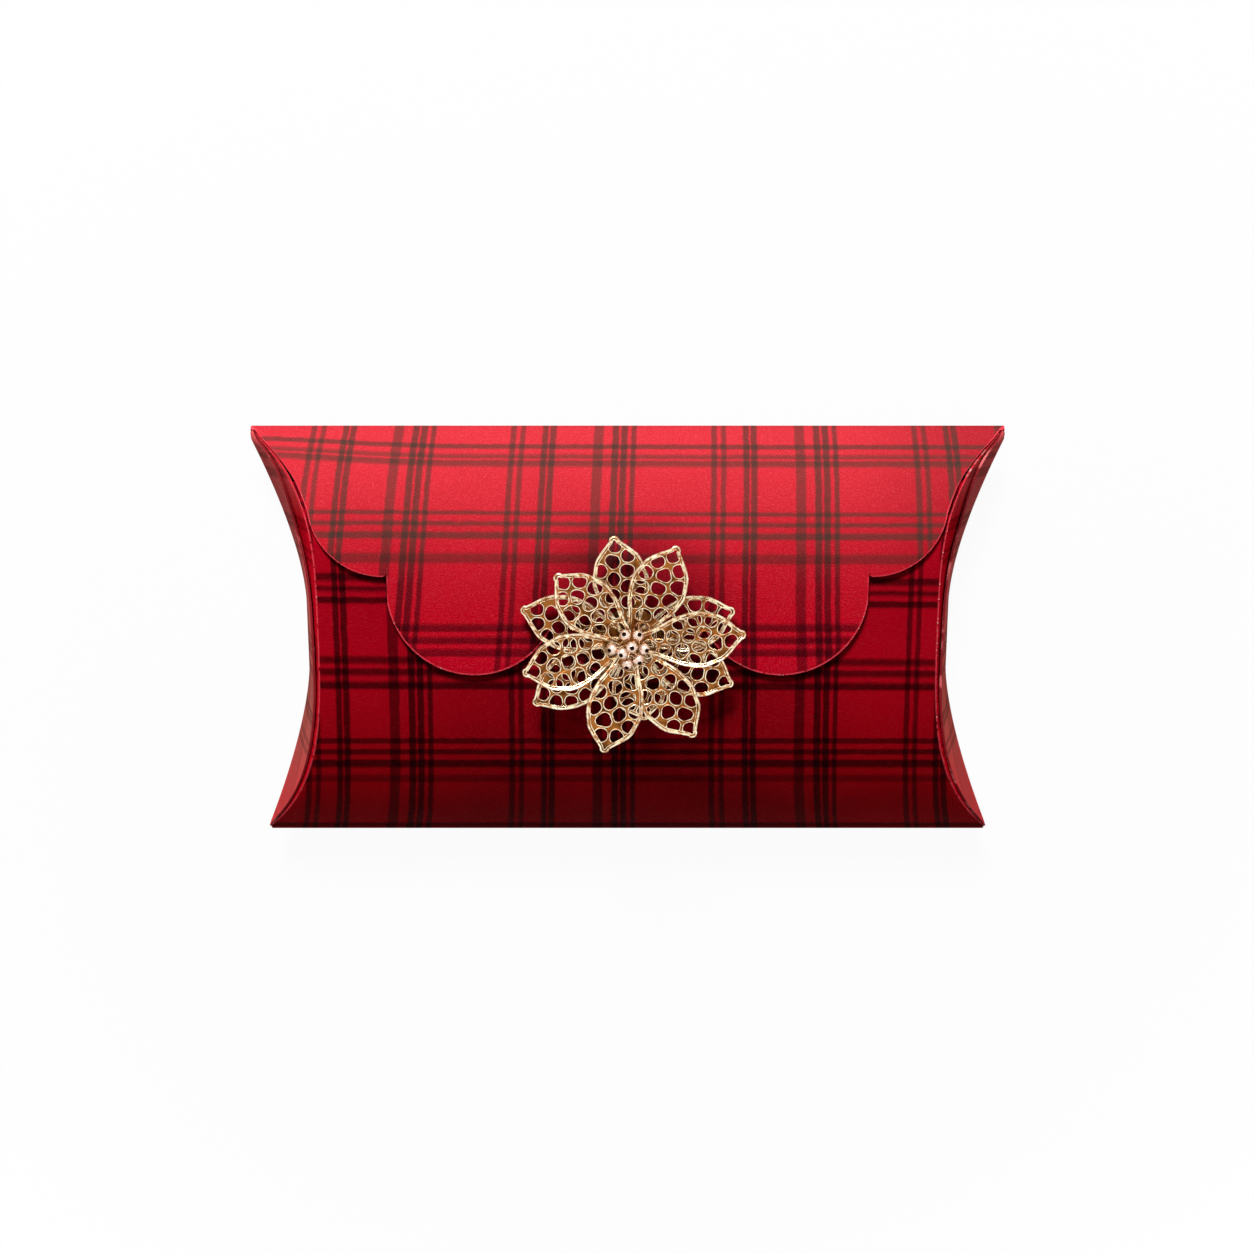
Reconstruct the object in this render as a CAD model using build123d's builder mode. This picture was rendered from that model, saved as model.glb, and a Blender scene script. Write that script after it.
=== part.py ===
from build123d import *
import math
import os

# A pillow box of printed board. One blank is folded into a full front panel, a flatter back panel,
# two curved flaps at each end and a scalloped closure flap, which carries a filigree metal flower.
# The box lies on its back. X runs along its length, Y runs up to the top fold and Z points out of
# the front. The origin is on the flat strip that the box rests on. All lengths are in millimetres.

# The box and its board
box_length = 200.0
box_height = 111.0
board = 0.6
running_gap = 0.35
contact_gap = 0.05
overrun = 5.0

# Bulge of the two panels away from the plane of their folds
front_bulge = 20.2
front_crown_drop = 49.5
front_fullness = 3.4
back_bulge = 10.9
back_crown_y = -2.0
back_fullness = 1.5
rest_strip = 20.0
top_land = 2.5
profile_steps = 24

# Front panel and the flaps at the ends
front_edge_drop = 13.5
tip_trim = 3.5
free_edge_share = 0.06
free_edge_slant = 0.7
free_edge_bend = 2.2
inner_flap_share = 0.82
inner_flap_trim = 7.0
flap_steps = 16

# Closure flap, with the centres of its lobes measured down from the top fold. The edge of the
# middle lobe sweeps the same angle, in degrees, to either side.
fold_radius = 0.6
lobe_lift = 1.3
side_end_drop = 19.0
outer_lobe_radius = 22.3
outer_lobe_x = 61.2
outer_lobe_drop = 15.3
big_lobe_radius = 22.0
big_lobe_x = 39.3
big_lobe_drop = 40.5
middle_lobe_radius = 21.5
middle_lobe_drop = 41.5
middle_lobe_sweep = 66.0
relief_radius = 0.5

# Hook and loop dots that hold the closure flap down
dot_radius = 5.0

# Flower: its place, its mounting and its two rings of petals
flower_x = 0.9
flower_drop = 52.9
pad_radius = 7.5
pad_height = 1.0
base_radius = 8.2
base_height = 0.6
hub_radius = 2.75
petal_thickness = 0.8
petal_step = 1.05
petal_width = 14.0
ring_gap = 0.4
hub_crown = 0.4
lower_petal_length = 29.5
lower_petal_rise = 1.4
lower_tip_rise = 0.8
upper_petal_length = 28.5
upper_petal_rise = 3.6
upper_tip_rise = 4.2
petal_rim = 1.1
mesh_hole = 2.9
mesh_pitch = 3.5

# Outline of a petal from the hub to its tip, as shares of its length and of half its width
petal_outline_shares = [(0.0, 0.2), (0.22, 0.46), (0.42, 0.86), (0.6, 1.0), (0.8, 0.78), (1.0, 0.0)]

# Bearing of each petal in degrees, and its length as a share of its ring's longest
lower_petal_angles = [17.0, 99.4, 163.5, 213.0, 280.0, 336.8]
lower_length_shares = [0.92, 0.92, 0.98, 1.0, 0.7, 0.95]
upper_petal_angles = [6.4, 65.4, 136.0, 194.7, 255.5, 304.6]
upper_length_shares = [1.0, 0.96, 0.91, 0.98, 0.98, 0.99]

# Stamens: each bead's place across the flower and its height above the hub, in bead diameters
bead_diameter = 2.9
stem_radius = 0.25
stem_root_share = 0.25
stamen_shares = [
    (-0.52, 0.99, 1.0),
    (0.6, 0.95, 0.95),
    (-1.62, -0.24, 0.95),
    (-0.76, -0.5, 1.45),
    (1.14, -0.24, 0.95),
    (0.62, -1.16, 1.05),
    (-0.34, -1.54, 0.95),
    (0.06, 0.08, 1.65),
]

# Places that follow from the sizes above
half_length = box_length / 2
top_y = box_height / 2
bottom_y = -top_y
front_crown_y = top_y - front_crown_drop
front_edge_y = top_y - front_edge_drop
flower_y = top_y - flower_drop
fold_z = back_bulge
front_z = fold_z + front_bulge
above_all = front_z + upper_petal_length
fold_axis_y = top_y - fold_radius
fold_axis_z = fold_z + board / 2
board_and_gap = board + running_gap
probe = board / 10


def share_from_crown(y, crown_y, flat, top_end):
    """How far y lies from the flat crown of a panel to its fold: 0 on the crown and 1 on the fold."""
    reach = top_end - crown_y if y > crown_y else crown_y - bottom_y
    beyond = max(0.0, abs(y - crown_y) - flat / 2)
    return min(1.0, beyond / (reach - flat / 2))


def front_height(y):
    """Height of the front panel's outer face above the plane of the folds."""
    return front_bulge * (1 - share_from_crown(y, front_crown_y, 0.0, top_y) ** front_fullness)


def back_depth(y):
    """Depth of the back panel's outer face below the plane of the folds."""
    share = share_from_crown(y, back_crown_y, rest_strip, top_y - top_land)
    return back_bulge * (1 - share**back_fullness)


def between(low, high, steps):
    """Evenly spaced places from low to high."""
    return [low + (high - low) * i / steps for i in range(steps + 1)]


def front_normal(y):
    """Unit normal of the front panel's outer face at y, as (along Y, along Z)."""
    slope = (front_height(y + probe) - front_height(y - probe)) / (2 * probe)
    return -slope / math.hypot(1, slope), 1 / math.hypot(1, slope)


def front_point(y, lift):
    """Point of the YZ profile at a distance of lift outside the front panel's outer face."""
    normal_y, normal_z = front_normal(min(y, top_y - 2 * probe))
    return y + lift * normal_y, fold_z + front_height(y) + lift * normal_z


def back_point(y, lift):
    """Point of the YZ profile at a distance of lift inside the back panel's outer face."""
    slope = (back_depth(y + probe) - back_depth(y - probe)) / (2 * probe)
    steep = math.hypot(1, slope)
    return y + lift * slope / steep, fold_z - back_depth(y) + lift / steep


def flap_lift(y):
    """Distance from the front panel's outer face to the closure flap's outer face."""
    if y > front_edge_y:
        return board_and_gap * (top_y - y) / (top_y - front_edge_y)
    lobe_y = top_y - big_lobe_drop
    share = min(1.0, max(0.0, (front_edge_y - y) / (front_edge_y - lobe_y)))
    return board_and_gap + (lobe_lift - running_gap) * share * share * (3 - 2 * share)


def crease_x(bulge):
    """Distance of a crease from the middle of the box, where a panel stands out by bulge."""
    return half_length - bulge


def shell_section(outer, inner):
    """Closed outline through the points of an outer face and, backwards, those of an inner face."""
    with BuildLine() as outline:
        Spline(*outer)
        Line(outer[-1], inner[-1])
        Spline(*reversed(inner))
        Line(inner[0], outer[0])
    return outline.line


def panel_plan(bulge_at, low_y, high_y, pull_in):
    """Plan of a panel between its two creases, which lie pull_in inside the ends of the box."""
    sides = [(crease_x(bulge_at(y)) - pull_in, y) for y in between(low_y, high_y, profile_steps)]
    with BuildLine() as plan:
        Spline(*sides)
        Line(sides[-1], (-sides[-1][0], sides[-1][1]))
        Spline(*[(-x, y) for x, y in reversed(sides)])
        Line((-sides[0][0], sides[0][1]), sides[0])
    return plan.line


def front_panel_part():
    """Full front panel, from the bottom fold to its free edge under the closure flap."""
    rows = between(bottom_y, front_edge_y, profile_steps)
    outer = [front_point(y, 0.0) for y in rows]
    inner = [front_point(y, -board) for y in rows]
    with BuildPart() as panel:
        with BuildSketch(Plane.YZ):
            add(shell_section(outer, inner))
            make_face()
            with Locations((0, fold_z)):
                Rectangle(box_height, above_all, align=(Align.CENTER, Align.MIN), mode=Mode.INTERSECT)
        extrude(amount=half_length, both=True)
        with BuildSketch(Plane.XY):
            add(panel_plan(front_height, bottom_y, front_edge_y, 0.0))
            make_face()
        extrude(amount=above_all, mode=Mode.INTERSECT)
    return panel.part


def back_curve(fold_y, strip_y, lift):
    """Curve of the back panel from one of its folds to the flat strip, lift inside its outer face."""
    points = [back_point(y, lift) for y in between(fold_y, strip_y, profile_steps // 2)]
    points[-1] = (strip_y, lift)
    first_run = Vector(*points[1]) - Vector(*points[0])
    return Spline(*points, tangents=[first_run, (strip_y - fold_y, 0)])


def back_panel_part():
    """Flatter back panel, from the bottom fold to the crease of the closure flap."""
    low_y = back_crown_y - rest_strip / 2
    high_y = back_crown_y + rest_strip / 2
    with BuildPart() as panel:
        with BuildSketch(Plane.YZ):
            with BuildLine():
                for lift in (0.0, board):
                    back_curve(bottom_y, low_y, lift)
                    Line((low_y, lift), (high_y, lift))
                    back_curve(top_y, high_y, lift)
                Line(back_point(bottom_y, 0.0), back_point(bottom_y, board))
                Line(back_point(top_y, 0.0), back_point(top_y, board))
            make_face()
            with Locations((front_edge_y, fold_z)):
                Rectangle(box_height, fold_z, align=(Align.MAX, Align.MIN), mode=Mode.SUBTRACT)
            with Locations((fold_axis_y, fold_axis_z)):
                Circle(fold_radius + running_gap, mode=Mode.SUBTRACT)
        extrude(amount=half_length, both=True)
        with BuildSketch(Plane.XY.offset(-board)):
            add(panel_plan(back_depth, bottom_y, fold_axis_y - fold_radius, board_and_gap))
            make_face()
        extrude(amount=above_all, mode=Mode.INTERSECT)
    return panel.part


def middle_lobe_point(angle):
    """Point of the middle lobe's edge at an angle from straight down."""
    middle_lobe_y = top_y - middle_lobe_drop
    return middle_lobe_radius * math.sin(angle), middle_lobe_y - middle_lobe_radius * math.cos(angle)


def closure_flap_part():
    """Scalloped closure flap, which starts as a rounded fold on its hinge axis."""
    middle_lobe_foot = middle_lobe_point(0.0)
    rows = between(middle_lobe_foot[1] - overrun, fold_axis_y, profile_steps)
    outer = [front_point(y, flap_lift(y)) for y in rows]
    inner = [front_point(y, flap_lift(y) - board) for y in rows]
    side_end_y = top_y - side_end_drop
    side = [(crease_x(front_height(y)), y) for y in between(top_y, side_end_y, profile_steps // 2)]
    outer_lobe_y = top_y - outer_lobe_drop
    big_lobe_y = top_y - big_lobe_drop
    turn = math.radians(45)
    outer_lobe_side = (
        outer_lobe_x + outer_lobe_radius * math.sin(turn),
        outer_lobe_y - outer_lobe_radius * math.cos(turn),
    )
    outer_cusp = (outer_lobe_x, outer_lobe_y - outer_lobe_radius)
    big_lobe_foot = (big_lobe_x, big_lobe_y - big_lobe_radius)
    inner_cusp = middle_lobe_point(math.radians(middle_lobe_sweep))
    middle_lobe_side = middle_lobe_point(math.radians(middle_lobe_sweep / 2))
    with BuildPart() as flap:
        with BuildSketch(Plane.YZ):
            add(shell_section(outer, inner))
            make_face()
            with Locations((fold_axis_y, fold_axis_z)):
                Circle(fold_radius)
        extrude(amount=half_length, both=True)
        with BuildSketch(Plane.XY):
            with BuildLine():
                Polyline((0, top_y + overrun), (half_length, top_y + overrun), side[0])
                Spline(*side)
                ThreePointArc(side[-1], outer_lobe_side, outer_cusp)
                ThreePointArc(outer_cusp, big_lobe_foot, inner_cusp)
                ThreePointArc(inner_cusp, middle_lobe_side, middle_lobe_foot)
                Line(middle_lobe_foot, (0, top_y + overrun))
            make_face()
            with Locations(outer_cusp):
                Circle(relief_radius, mode=Mode.SUBTRACT)
            mirror(about=Plane.YZ)
        extrude(amount=above_all, mode=Mode.INTERSECT)
    return flap.part


def crease_pair(y, side):
    """Front and back crease points of one end at y, with the unit directions down and inwards."""
    front = Vector(side * crease_x(front_height(y)), fold_z + front_height(y))
    back = Vector(side * crease_x(back_depth(y)), fold_z - back_depth(y))
    down = (back - front).normalized()
    inward = Vector(side * down.Y, -side * down.X)
    return front, back, down, inward


def outer_flap_section(y, side):
    """Section of an outer end flap, from its crease on the back panel to its free edge."""
    front, back, down, inward = crease_pair(y, side)
    up_share = (y - bottom_y) / box_height
    bare_share = free_edge_share + free_edge_slant * up_share**free_edge_bend
    edge = front + down * (bare_share * (back - front).length + running_gap)
    outer_top = edge - inward * board_and_gap
    return [outer_top, outer_top + inward * board, back - Vector(side * board, 0), back]


def inner_flap_section(y, side):
    """Section of an inner end flap, which hangs from the front panel inside the outer flap."""
    front, back, down, inward = crease_pair(y, side)
    normal_y, normal_z = front_normal(y)
    top = front - Vector(0, board / normal_z + contact_gap)
    across = Vector(side * board / abs(down.Y), 0)
    foot = front + (back - front) * inner_flap_share + inward * (board_and_gap * inner_flap_share)
    return [top, top - across, foot + inward * board, foot]


def end_flap_part(section_at, side, low_y, high_y):
    """A curved end flap, lofted through its sections along the height of the box."""
    with BuildPart() as flap:
        for y in between(low_y, high_y, flap_steps):
            with BuildSketch(Plane.XZ.offset(-y)):
                with BuildLine():
                    Polyline(*[(point.X, point.Y) for point in section_at(y, side)], close=True)
                make_face()
        loft()
    return flap.part


def disc_part(x, y, low_z, radius, height):
    """A flat round disc that stands on low_z."""
    with BuildPart() as disc:
        with BuildSketch(Plane.XY.offset(low_z)):
            with Locations((x, y)):
                Circle(radius)
        extrude(amount=height)
    return disc.part


def petal_half_width(along, length):
    """Half the width of a petal at a distance along its length, from its outline's shares."""
    share = along / length
    for (low, low_width), (high, high_width) in zip(petal_outline_shares, petal_outline_shares[1:]):
        if share <= high:
            return petal_width / 2 * (low_width + (high_width - low_width) * (share - low) / (high - low))
    return 0.0


def mesh_places(length):
    """Centres of the holes in a petal, in rows across it."""
    places = []
    rows = int((length - hub_radius - 2 * petal_rim) // mesh_pitch)
    for row in range(1, rows + 1):
        along = length - petal_rim - mesh_pitch * row
        room = 2 * (petal_half_width(along, length) - petal_rim) - mesh_hole
        count = int(room // mesh_pitch) + 1 if room > 0 else 0
        places += [(along, mesh_pitch * (i - (count - 1) / 2)) for i in range(count)]
    return places


def petal_part(length, base_z, rise, tip_rise, angle):
    """One pierced petal, arched along its length and turned to its bearing round the hub."""
    spine = [(0, base_z), (length / 2, base_z + rise), (length, base_z + tip_rise)]
    upper = [(x, z + petal_thickness) for x, z in spine]
    sides = [(length * along, petal_width / 2 * out) for along, out in petal_outline_shares]
    with BuildPart() as petal:
        with BuildSketch(Plane.XZ):
            with BuildLine():
                ThreePointArc(*spine)
                Line(spine[-1], upper[-1])
                ThreePointArc(*reversed(upper))
                Line(upper[0], spine[0])
            make_face()
        extrude(amount=petal_width, both=True)
        with BuildSketch(Plane.XY.offset(base_z - petal_width)):
            with BuildLine():
                Spline(*sides)
                Spline(*[(x, -y) for x, y in reversed(sides)])
                Line((sides[0][0], -sides[0][1]), sides[0])
            make_face()
            Circle(hub_radius, mode=Mode.SUBTRACT)
            with Locations(*mesh_places(length)):
                Circle(mesh_hole / 2, mode=Mode.SUBTRACT)
        extrude(amount=3 * petal_width, mode=Mode.INTERSECT)
    return Location((flower_x, flower_y, 0), (0, 0, angle)) * petal.part


def ring_of_petals(name, base_z, length, rise, tip_rise, angles, shares, first_raised):
    """The petals of one ring. Every other one is a step higher, so that neighbours pass each other."""
    for i, (angle, share) in enumerate(zip(angles, shares)):
        raised_z = base_z + petal_step * ((i + first_raised) % 2)
        pieces[f"{name}_{i + 1}"] = petal_part(length * share, raised_z, rise, tip_rise, angle)


def bead_centre(shares, hub_top_z):
    """Centre of one stamen's bead."""
    across, up, high = shares
    return Vector(
        flower_x + across * bead_diameter,
        flower_y + up * bead_diameter,
        hub_top_z + high * bead_diameter,
    )


def stamen_parts(hub_top_z):
    """The thin stems that rise from the hub, and the beads on their ends."""
    hub_top = Vector(flower_x, flower_y, hub_top_z + stem_radius)
    with BuildPart() as stems:
        for shares in stamen_shares:
            centre = bead_centre(shares, hub_top_z)
            root = hub_top + Vector(centre.X - flower_x, centre.Y - flower_y, 0) * stem_root_share
            run = centre - root
            with BuildSketch(Plane(origin=root, z_dir=run)):
                Circle(stem_radius)
            extrude(amount=run.length - bead_diameter / 2)
    with BuildPart() as beads:
        with Locations(*[bead_centre(shares, hub_top_z) for shares in stamen_shares]):
            Sphere(bead_diameter / 2)
    return stems.part, beads.part


# The folded blank
pieces = {
    "back_panel": back_panel_part(),
    "front_panel": front_panel_part(),
    "closure_flap": closure_flap_part(),
}
for side, name in ((-1, "left"), (1, "right")):
    pieces[f"{name}_outer_end_flap"] = end_flap_part(
        outer_flap_section, side, bottom_y + tip_trim, top_y - tip_trim
    )
    pieces[f"{name}_inner_end_flap"] = end_flap_part(
        inner_flap_section, side, bottom_y + inner_flap_trim, top_y - inner_flap_trim
    )

# The dots that hold the closure flap down, with a running gap between them
dot_height = (lobe_lift - running_gap) / 2
dot_y = front_crown_y
pieces["panel_loop_dot"] = disc_part(0, dot_y, front_z, dot_radius, dot_height)
flap_dot_z = front_z + lobe_lift - dot_height - contact_gap
pieces["flap_hook_dot"] = disc_part(0, dot_y, flap_dot_z, dot_radius, dot_height)

# The flower, stacked up from the closure flap
pad_z = front_z + lobe_lift + board
base_z = pad_z + pad_height
hub_z = base_z + base_height
lower_ring_z = hub_z + petal_step / 2
upper_ring_z = lower_ring_z + 2 * petal_step + ring_gap
hub_top_z = upper_ring_z + 2 * petal_step + hub_crown
pieces["flower_glue_pad"] = disc_part(flower_x, flower_y, pad_z, pad_radius, pad_height)
pieces["flower_base_disc"] = disc_part(flower_x, flower_y, base_z, base_radius, base_height)
pieces["flower_hub"] = disc_part(flower_x, flower_y, hub_z, hub_radius, hub_top_z - hub_z)
ring_of_petals(
    "lower_petal", lower_ring_z, lower_petal_length, lower_petal_rise, lower_tip_rise,
    lower_petal_angles, lower_length_shares, False,
)
ring_of_petals(
    "upper_petal", upper_ring_z, upper_petal_length, upper_petal_rise, upper_tip_rise,
    upper_petal_angles, upper_length_shares, True,
)
pieces["stamen_stems"], pieces["stamen_beads"] = stamen_parts(hub_top_z)

os.makedirs("parts", exist_ok=True)
for name, piece in pieces.items():
    piece.label = name
    export_step(piece, f"parts/{name}.step")
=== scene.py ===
import math
import random

import bpy
import numpy as np
from mathutils import Matrix, Vector, noise


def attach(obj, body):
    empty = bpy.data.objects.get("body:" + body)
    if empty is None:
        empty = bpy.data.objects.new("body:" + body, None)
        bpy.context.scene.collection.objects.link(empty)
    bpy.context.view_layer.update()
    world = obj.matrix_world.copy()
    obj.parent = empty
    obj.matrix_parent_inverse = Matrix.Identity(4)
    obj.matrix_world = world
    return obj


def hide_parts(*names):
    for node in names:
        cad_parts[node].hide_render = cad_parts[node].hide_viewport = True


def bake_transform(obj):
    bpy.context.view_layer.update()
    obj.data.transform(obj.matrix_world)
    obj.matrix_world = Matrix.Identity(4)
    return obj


# A pillow box of tartan board with a filigree metal flower on its scalloped closure flap. The box
# lies on its back, X along its length, Y up to the top fold and Z out of the front. Sizes are in
# millimetres, as in the part's source, and each mesh is brought to metres when it is finished.
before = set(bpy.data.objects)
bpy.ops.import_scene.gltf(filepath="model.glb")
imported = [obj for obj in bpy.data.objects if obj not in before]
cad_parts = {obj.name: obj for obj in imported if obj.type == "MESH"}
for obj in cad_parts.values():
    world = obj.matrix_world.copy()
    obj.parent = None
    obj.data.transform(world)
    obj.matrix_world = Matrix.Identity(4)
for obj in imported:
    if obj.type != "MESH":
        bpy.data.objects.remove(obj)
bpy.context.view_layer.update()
bpy.ops.object.select_all(action="DESELECT")

MM = 0.001
far_inside = 9.0
slope_step = 0.06
run_samples = 445

# The box and its board
half_length = 100.0
top_y = 55.5
bottom_y = -55.5
board = 0.6
running_gap = 0.35
board_and_gap = board + running_gap
fold_z = 10.9
front_bulge = 20.2
front_crown_y = 6.0
front_fullness = 3.4
back_bulge = 10.9
back_crown_y = -2.0
back_fullness = 1.5
rest_strip = 20.0
top_land = 2.5
front_z = fold_z + front_bulge

# Flaps
front_edge_y = 42.0
fold_axis_y = 54.9
fold_axis_z = 11.2
fold_radius = 0.62
flap_end_y = 54.7
bottom_bead_y = bottom_y + 0.6
# Where the two rounded folds start, and how far they turn, in degrees
flap_bead_start, flap_bead_turn = 36.0, -212.0
bottom_bead_start, bottom_bead_turn = 270.0, -125.0
lobe_lift = 1.3
side_end_y = 34.0
side_cut_in = 1.25
side_belly = 0.25
side_slope = 0.72
outer_cusp = (61.2, 18.5)
outer_lobe_side = (76.2, 24.3)
big_lobe_centre = (39.3, 15.0)
big_lobe_radius = 22.0
middle_lobe = (0.0, 14.0, 21.5)
middle_lobe_sweep = 66.0
free_edge_share = 0.06
free_edge_slant = 0.7
free_edge_bend = 2.2
free_edge_top_less = 0.8
outer_flap_bow = 0.25
inner_flap_share = 0.82
end_trim = 0.7
inner_flap_trim = 7.0
inner_flap_in = 0.25
inner_flap_drop = 0.3
back_side_in = 0.25
tip_blunt = 0.7
tip_blunt_run = 4.0
tip_round = 1.3
end_hinge_x = 89.1
end_bend_run = 12.0
worn_edge = 0.16

# Flower
flower_x = 0.9
flower_y = 2.6
hub_radius = 2.75
petal_thickness = 0.8
petal_step = 1.05
petal_width = 14.0
ring_gap = 0.4
lower_petal_length = 29.5
upper_petal_length = 28.5
petal_outline_shares = [(0.0, 0.2), (0.22, 0.46), (0.42, 0.86), (0.6, 1.0), (0.8, 0.78), (1.0, 0.0)]
lower_petal_angles = [17.0, 99.4, 163.5, 213.0, 280.0, 336.8]
lower_length_shares = [0.92, 0.92, 0.98, 1.0, 0.7, 0.95]
upper_petal_angles = [6.4, 65.4, 136.0, 194.7, 255.5, 304.6]
upper_length_shares = [1.0, 0.96, 0.91, 0.98, 0.98, 0.99]
# How each ring of petals bends, as (rise of the spine, rise of the tip, depth of the cup)
lower_petal_bend = (1.4, 0.8, 0.5)
upper_petal_bend = (3.6, 4.2, 0.9)
petal_tip_radius = 1.25
rim_wire = 0.34
inner_rim_wire = 0.14
inner_rim_in = 0.62
web_half = 0.26
web_in = 0.36
cell_wire = 0.2
cell_wire_in = 0.24
cell_wire_stretch = 1.6
cell_sides = 20
smallest_cell = 0.62
ring_radius = 2.06
row_share = 0.87
packing_rounds = 90
bead_diameter = 2.9
bead_bore_radius = 0.5
bead_bore_depth = 0.6
# The beads from the middle of the flower, as (along, up, out) in bead diameters
stamen_shares = [
    (-0.52, 0.99, 1.0),
    (0.6, 0.95, 0.95),
    (-1.62, -0.24, 0.95),
    (-0.76, -0.5, 1.45),
    (1.14, -0.24, 0.95),
    (0.62, -1.16, 1.05),
    (-0.34, -1.54, 0.95),
    (0.06, 0.08, 1.65),
]
foam_pad_radius = 7.45
foam_pad_depth = 1.0
foam_pad_round = 0.34
pad_z = front_z + lobe_lift + board
hub_z = pad_z + 1.6
lower_ring_z = hub_z + petal_step / 2
upper_ring_z = lower_ring_z + 2 * petal_step + ring_gap
hub_top_z = upper_ring_z + 2 * petal_step + 0.4

# The hook and loop dots, each half as high as the gap between them
dot_radius = 5.0
dot_film = 0.17
dot_height = (lobe_lift - running_gap) / 2
nub_pitch = 0.6

# Tartan: the bars of one repeat along the box as (middle, width, depth of ink) after its first bar
sheet_run = 140.0
tartan_repeat = 51.7
tartan_start = -7.95
lane_lead = 1.5
bars_along = [
    (0.0, 2.5, 0.66),
    (4.4, 1.72, 0.8),
    (6.62, 1.66, 0.8),
    (9.05, 1.3, 0.74),
    (29.7, 1.5, 0.7),
    (32.15, 1.3, 0.66),
    (37.95, 1.55, 0.78),
    (39.95, 1.6, 0.78),
]
# Spacing and shift of the flap's upright bars: at the fold, and what the fan and its square add. The fan
# is 1 at fan_run below the fold.
fan_run = 45.0
fan_spacing = (0.9835, 0.0246, -0.0421)
fan_shift = (-0.64, 1.9, -0.18)
# Where the bars up the front panel stray from an even spacing, as (place along the box, how far)
panel_strays = [
    (-80.0, 1.3), (-74.0, 1.55), (-59.0, 0.73), (-30.0, 0.1), (0.0, -0.2), (23.0, 0.0),
    (31.0, -0.57), (44.0, -0.78), (53.0, -1.25), (72.0, 0.96), (82.0, 1.5),
]
# How far down the sheet the flap's level bars stray near the top fold, halfway down and low on the flap
top_strays = [(-92.0, 3.1), (-66.0, 1.2), (-48.0, 0.35), (41.0, 0.0)]
halfway_strays = [(-66.0, 0.86), (41.0, 0.15)]
low_stray = 0.3
# The bars across the box as (start, end, depth of ink), measured along the board from the top fold
flap_bars = [
    (0.0, 0.5, 0.5),
    (7.4, 9.1, 0.74),
    (10.9, 12.2, 0.66),
    (12.9, 14.8, 0.7),
    (27.5, 28.8, 0.72),
    (30.2, 31.6, 0.74),
    (32.9, 34.7, 0.76),
    (38.3, 40.9, 0.6),
    (56.3, 58.3, 0.74),
    (59.6, 61.4, 0.76),
    (62.8, 64.9, 0.72),
]
panel_bars = [
    (25.0, 27.0, 0.7),
    (43.3, 45.4, 0.76),
    (46.6, 48.1, 0.72),
    (49.5, 51.3, 0.8),
    (65.0, 66.8, 0.72),
    (68.2, 70.0, 0.74),
    (71.6, 73.7, 0.8),
    (87.2, 88.8, 0.72),
    (90.5, 92.3, 0.74),
    (93.9, 96.3, 0.8),
    (98.9, 101.3, 0.5),
    (120.3, 122.6, 0.72),
]
back_bars = [
    (6.0, 7.8, 0.72),
    (9.2, 10.8, 0.72),
    (12.4, 14.4, 0.78),
    (28.2, 30.0, 0.72),
    (31.4, 33.0, 0.74),
    (34.6, 36.7, 0.8),
    (50.4, 52.2, 0.72),
    (53.6, 55.2, 0.74),
    (56.8, 58.9, 0.8),
    (72.6, 74.4, 0.72),
    (75.8, 77.4, 0.74),
    (79.0, 81.1, 0.8),
    (94.8, 96.6, 0.72),
    (98.0, 99.6, 0.74),
    (101.2, 103.3, 0.8),
]


# ---- Shape of the folded board, in the words of the part's source ----
def share_from_crown(y, crown_y, flat, top_end):
    """How far y lies from the flat crown of a panel to its fold: 0 on the crown and 1 on the fold."""
    reach = top_end - crown_y if y > crown_y else crown_y - bottom_y
    beyond = max(0.0, abs(y - crown_y) - flat / 2)
    return min(1.0, beyond / (reach - flat / 2))


def front_height(y):
    """Height of the front panel's outer face above the plane of the folds."""
    return front_bulge * (1 - share_from_crown(y, front_crown_y, 0.0, top_y) ** front_fullness)


def back_depth(y):
    """Depth of the back panel's outer face below the plane of the folds."""
    share = share_from_crown(y, back_crown_y, rest_strip, top_y - top_land)
    return back_bulge * (1 - share**back_fullness)


def front_point(y, lift):
    """Point of the YZ profile at a distance of lift outside the front panel's outer face."""
    slope = (front_height(y + slope_step) - front_height(y - slope_step)) / (2 * slope_step)
    steep = math.hypot(1, slope)
    return y - lift * slope / steep, fold_z + front_height(y) + lift / steep


def flap_lift(y):
    """Distance from the front panel's outer face to the closure flap's outer face."""
    if y > front_edge_y:
        return board_and_gap * (top_y - y) / (top_y - front_edge_y)
    share = min(1.0, (front_edge_y - y) / (front_edge_y - big_lobe_centre[1]))
    return board_and_gap + (lobe_lift - running_gap) * share * share * (3 - 2 * share)


def crease_x(bulge):
    """Distance of a crease from the middle of the box, where a panel stands out by bulge."""
    return half_length - bulge


def eased(value, low, high):
    """Smoothly from 0 at low to 1 at high."""
    share = min(1.0, max(0.0, (value - low) / (high - low)))
    return share * share * (3 - 2 * share)


def tip_in(y):
    """How far the tips are worn back: blunt at the top fold and rounded at the bottom one."""
    low = min(1.0, max(0.0, (bottom_y + tip_round - y) / tip_round))
    return tip_blunt * eased(y, top_y - tip_blunt_run, top_y) + tip_round * (1 - math.sqrt(1 - low * low))


def flap_side_x(y):
    """Where the closure flap's side is cut at y, a little inside the crease."""
    cut = side_cut_in * (1 - eased(y, 38.0, 54.0))
    belly = side_belly * eased(y, 54.5, 48.0) * eased(y, 38.0, 44.0)
    return crease_x(front_height(y)) - (cut + belly) - tip_in(y)


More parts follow.
